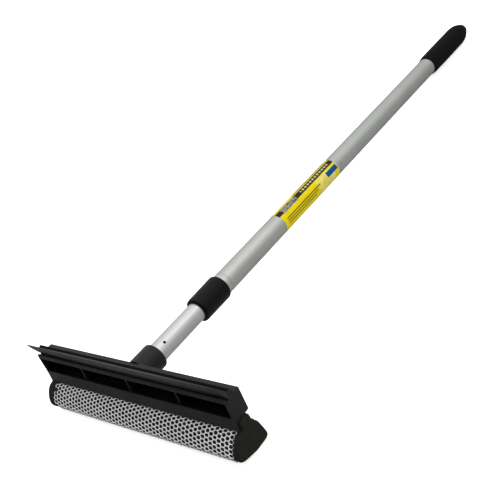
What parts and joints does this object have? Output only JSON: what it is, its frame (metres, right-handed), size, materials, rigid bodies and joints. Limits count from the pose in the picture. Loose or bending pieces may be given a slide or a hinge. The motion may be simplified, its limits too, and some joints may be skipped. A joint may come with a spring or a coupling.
{
  "type": "telescopic window squeegee",
  "caption": "Long-handled window washer and squeegee: moulded T head with a rubber blade and a netted foam sponge, on a twist-lock telescopic tube.",
  "frame": {"origin": "on the pole's axis, in the middle of the bare outer tube between the label and the grip", "axes": "+Y along the pole from the head to the grip, +X along the head to the right seen from the grip with the blade up, +Z square to the pole towards the blade's side"},
  "size_m": [0.261, 0.777, 0.0816],
  "materials": {
    "head_plastic": "satin moulded black plastic",
    "blade_rubber": "dull dark grey rubber",
    "foam": "open-cell charcoal foam",
    "net_mesh": "knitted white polyester mesh",
    "inner_aluminium": "satin drawn tube",
    "outer_aluminium": "satin drawn tube",
    "rivet_metal": "plain",
    "nylon": "natural nylon",
    "collar_plastic": "black plastic with a soft sheen",
    "label_film": "printed plastic film, plain bars",
    "grip_foam_rubber": "matt black closed-cell foam rubber",
    "cap_plastic": "glossy black plastic"
  },
  "bodies": {
    "pole": {"outer_tube": "outer_aluminium", "label": "label_film", "grip_sleeve": "grip_foam_rubber", "grip_end_cap": "cap_plastic", "ferrule": "head_plastic"},
    "collar": {"lock_collar": "collar_plastic", "collar_liner": "collar_plastic"},
    "clamp": {"collet": "nylon"},
    "runner": {"guide_ring": "nylon"},
    "extension": {"inner_tube": "inner_aluminium", "inner_tube_plug": "head_plastic", "head_holder": "head_plastic", "rubber_blade": "blade_rubber", "foam_sponge": "foam", "sponge_net": "net_mesh", "sponge_strip": "head_plastic", "socket_rivet": "rivet_metal"}
  },
  "joints": [
    {"name": "collar_twist", "type": "hinge", "parent": "pole", "child": "collar", "pos_m": [0, 0, 0], "axis": [0, 1, 0], "range_deg": [0, 120]},
    {"name": "collet_release", "type": "slide", "parent": "pole", "child": "clamp", "axis": [0, -1, 0], "range_m": [0, 0.00101]},
    {"name": "pole_extend", "type": "slide", "parent": "pole", "child": "runner", "axis": [0, -1, 0], "range_m": [-0.06, 0.495]},
    {"name": "head_turn", "type": "hinge", "parent": "runner", "child": "extension", "pos_m": [0, 0, 0], "axis": [0, 1, 0], "continuous": true}
  ],
  "couplings": [
    {"joint": "collet_release", "follows": "collar_twist", "m_per_rad": 0.000477}
  ]
}
